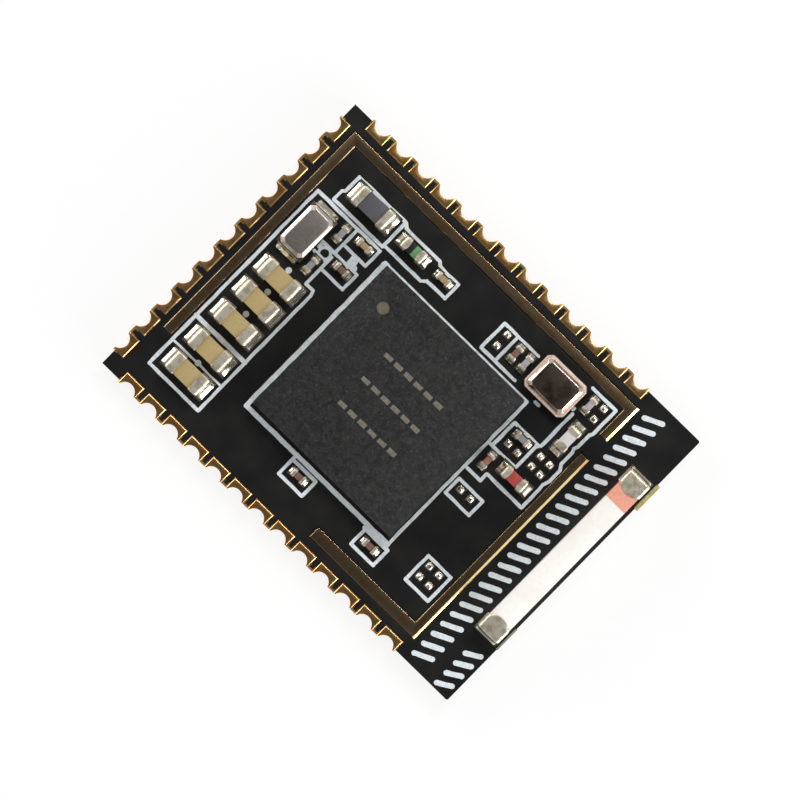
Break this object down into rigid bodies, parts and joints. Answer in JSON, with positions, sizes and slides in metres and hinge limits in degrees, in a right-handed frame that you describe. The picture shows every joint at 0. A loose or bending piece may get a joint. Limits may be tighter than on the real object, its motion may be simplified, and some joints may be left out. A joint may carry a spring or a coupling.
{
  "type": "castellated radio module",
  "caption": "Flat black radio module: board with plated half holes along its edges, a square chip, crystals, small chip parts, shield frame lands and a ceramic chip aerial.",
  "frame": {"origin": "middle of the plain board outline, on the outside of the underside mask", "axes": "+X along the board to the edge with the aerial, +Z out of the component side, +Y to the long edge nearer the two crystals and the ferrite inductor"},
  "size_m": [0.0178, 0.0134, 0.0018],
  "materials": {
    "laminate": "bare glass-epoxy laminate with routed, fibrous edges",
    "solder_mask": "black solder mask, semi-gloss",
    "gold_plating": "thin gold plating over copper, satin",
    "bright_solder": "bright reflowed tin solder",
    "end_metal": "tin-plated end terminations, satin",
    "mould_compound": "charcoal moulding compound, fine mottled grain",
    "lead_metal": "tin-plated leads",
    "crystal_ceramic": "dark brown-grey ceramic base",
    "slow_lid_metal": "brushed grey-taupe metal lid",
    "fast_lid_metal": "polished dark brown-grey metal lid",
    "tan_ceramic": "tan capacitor ceramic",
    "ferrite_ceramic": "dark grey ferrite",
    "banded_ceramic": "black ceramic with a green band",
    "pale_ceramic": "pale inductor ceramic",
    "red_ceramic": "red inductor coating",
    "small_grey_ceramic": "grey capacitor ceramic",
    "small_brown_ceramic": "brown capacitor ceramic",
    "small_lilac_ceramic": "pale lilac-grey ceramic",
    "aerial_ceramic": "near-white glazed ceramic with a salmon band",
    "printed_ink": "white screened ink, chalky"
  },
  "bodies": {
    "root": {"aerial_body": "aerial_ceramic", "aerial_caps": "end_metal", "banded_inductor_body": "banded_ceramic", "banded_inductor_caps": "end_metal", "board_laminate": "laminate", "bulk_capacitor_1_body": "tan_ceramic", "bulk_capacitor_1_caps": "end_metal", "bulk_capacitor_2_body": "tan_ceramic", "bulk_capacitor_2_caps": "end_metal", "bulk_capacitor_3_body": "tan_ceramic", "bulk_capacitor_3_caps": "end_metal", "bulk_capacitor_4_body": "tan_ceramic", "bulk_capacitor_4_caps": "end_metal", "bulk_capacitor_5_body": "tan_ceramic", "bulk_capacitor_5_caps": "end_metal", "edge_pads_north": "gold_plating", "edge_pads_south": "gold_plating", "edge_pads_west": "gold_plating", "fast_crystal_base": "crystal_ceramic", "fast_crystal_lid": "fast_lid_metal", "fast_crystal_terminals": "gold_plating", "ferrite_inductor_body": "ferrite_ceramic", "ferrite_inductor_caps": "end_metal", "main_chip_body": "mould_compound", "main_chip_leads": "lead_metal", "pale_inductor_body": "pale_ceramic", "pale_inductor_caps": "end_metal", "part_lands": "bright_solder", "red_inductor_body": "red_ceramic", "red_inductor_caps": "end_metal", "shield_land_north_west": "gold_plating", "shield_land_south_east": "gold_plating", "slow_crystal_base": "crystal_ceramic", "slow_crystal_lid": "slow_lid_metal", "slow_crystal_terminals": "gold_plating", "small_part_01_body": "small_grey_ceramic", "small_part_02_body": "small_brown_ceramic", "small_part_03_body": "small_brown_ceramic", "small_part_04_body": "small_grey_ceramic", "small_part_05_body": "small_brown_ceramic", "small_part_06_body": "small_brown_ceramic", "small_part_07_body": "small_lilac_ceramic", "small_part_08_body": "small_lilac_ceramic", "small_part_09_body": "small_grey_ceramic", "small_part_10_body": "small_brown_ceramic", "small_part_11_body": "small_brown_ceramic", "small_part_12_body": "small_brown_ceramic", "small_part_caps": "end_metal", "solder_domes": "bright_solder", "solder_fillets": "bright_solder", "solder_mask_top": "solder_mask", "solder_mask_underside": "solder_mask"}
  },
  "joints": []
}
